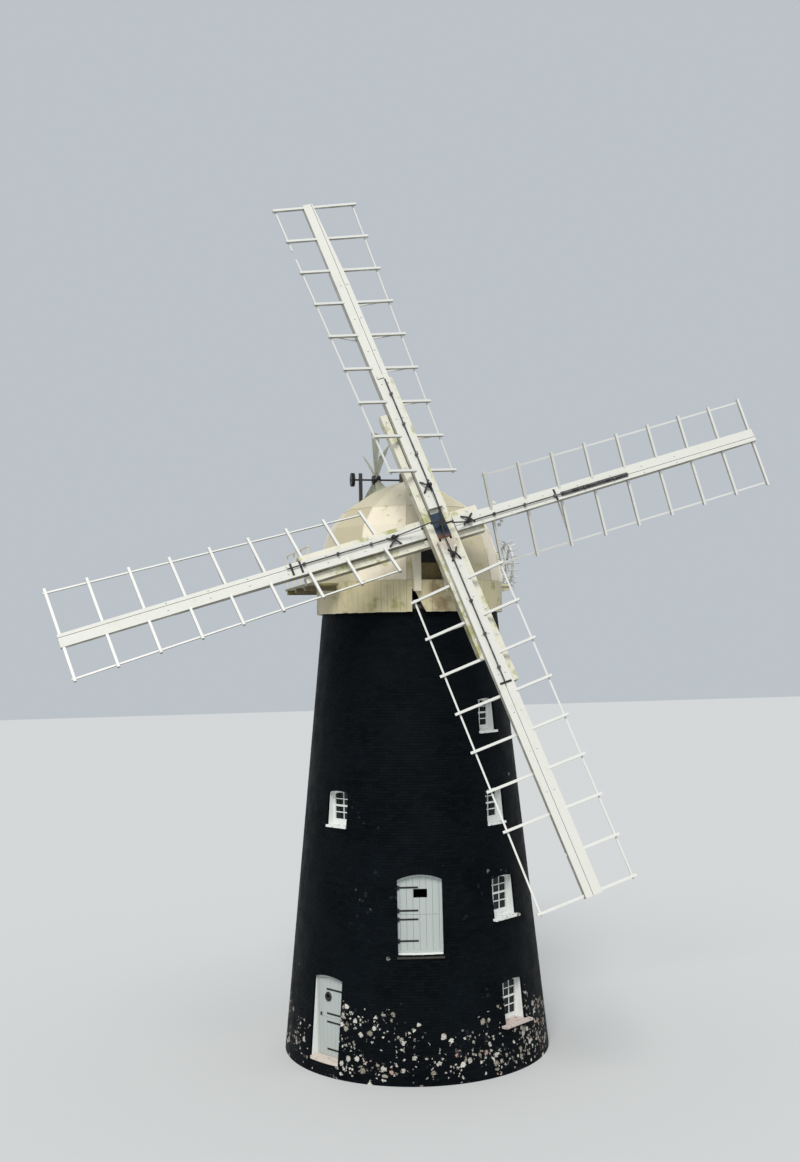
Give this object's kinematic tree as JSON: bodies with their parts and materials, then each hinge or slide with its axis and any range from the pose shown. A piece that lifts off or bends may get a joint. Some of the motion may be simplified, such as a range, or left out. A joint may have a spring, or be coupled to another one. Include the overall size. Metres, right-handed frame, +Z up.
{
  "type": "traditional windmill",
  "caption": "Tarred brick tower mill with a faceted dome cap that turns, patent sail frames on a tilted windshaft, and a fantail behind the cap.",
  "frame": {"origin": "centre of the tower's base, on the ground", "axes": "+Z up; -Y towards the sails; +X to the right of someone who faces the sails from the front"},
  "size_m": [19.4518, 11.2791, 23.171],
  "materials": {
    "brick": "tarred brickwork",
    "floor_boards": "bare boards",
    "sill": "dressed stone",
    "glass": "clear panes",
    "door_paint": "white paint",
    "black_iron": "black paint",
    "cast_iron": "dark paint",
    "sail_paint": "white paint",
    "vane_paint": "weathered paint",
    "dark_timber": "tarred timber",
    "cap_paint": "cream paint"
  },
  "bodies": {
    "tower": {"curb": "dark_timber", "door_frame": "door_paint", "door_pintles": "black_iron", "first_floor": "floor_boards", "ground_floor": "floor_boards", "loading_door_frame": "door_paint", "loading_door_leaves": "door_paint", "loading_door_straps": "black_iron", "second_floor": "floor_boards", "third_floor": "floor_boards", "wall_door_left": "brick", "wall_door_right": "brick", "wall_front": "brick", "wall_front_right": "brick", "wall_left": "brick", "wall_over_door": "brick", "wall_rear": "brick", "wall_rear_left": "brick", "wall_rear_right": "brick", "wall_right": "brick", "window_frames": "door_paint", "window_glass": "glass", "window_sills": "sill"},
    "door_lower": {"door_leaf_lower": "door_paint", "door_straps_lower": "black_iron"},
    "door_upper": {"door_leaf_upper": "door_paint", "door_straps_upper": "black_iron"},
    "cap": {"breast_posts": "cap_paint", "cap_frame": "dark_timber", "chain_wheel": "black_iron", "dome": "cap_paint", "fan_posts": "dark_timber", "fan_stage": "cap_paint", "gallery_rail": "cap_paint", "petticoat": "cap_paint", "shaft_bearings": "cast_iron", "side_gallery": "cap_paint", "weather_beam": "dark_timber", "wheel_bracket": "cap_paint", "wheel_chain": "black_iron"},
    "sails": {"clamps_front": "sail_paint", "clamps_rear": "sail_paint", "poll_end": "cast_iron", "sail_braces": "sail_paint", "sail_frame_left": "sail_paint", "sail_frame_lower": "sail_paint", "sail_frame_right": "sail_paint", "sail_frame_top": "sail_paint", "stocks": "sail_paint", "striking_cranks": "black_iron", "striking_rods": "black_iron", "striking_spider": "black_iron", "whips": "sail_paint", "windshaft": "cast_iron"},
    "fan": {"fan_axle": "black_iron", "fan_vanes": "vane_paint"}
  },
  "joints": [
    {"name": "lower_door_hinge", "type": "hinge", "parent": "tower", "child": "door_lower", "pos_m": [-2.47143, -2.19171, 0.9], "axis": [0, 0, 1], "range_deg": [0, 100]},
    {"name": "upper_door_hinge", "type": "hinge", "parent": "tower", "child": "door_upper", "pos_m": [-2.47143, -2.19171, 1.8], "axis": [0, 0, 1], "range_deg": [0, 100]},
    {"name": "cap_turn", "type": "hinge", "parent": "tower", "child": "cap", "pos_m": [0, 0, 11.97], "axis": [0, 0, 1], "continuous": true},
    {"name": "sails_turn", "type": "hinge", "parent": "cap", "child": "sails", "pos_m": [0, -3.22911, 13.84], "axis": [0, -0.9563, 0.2924], "continuous": true},
    {"name": "fan_turn", "type": "hinge", "parent": "cap", "child": "fan", "pos_m": [0, 3.50011, 15.95], "axis": [1, 0, 0], "continuous": true}
  ]
}
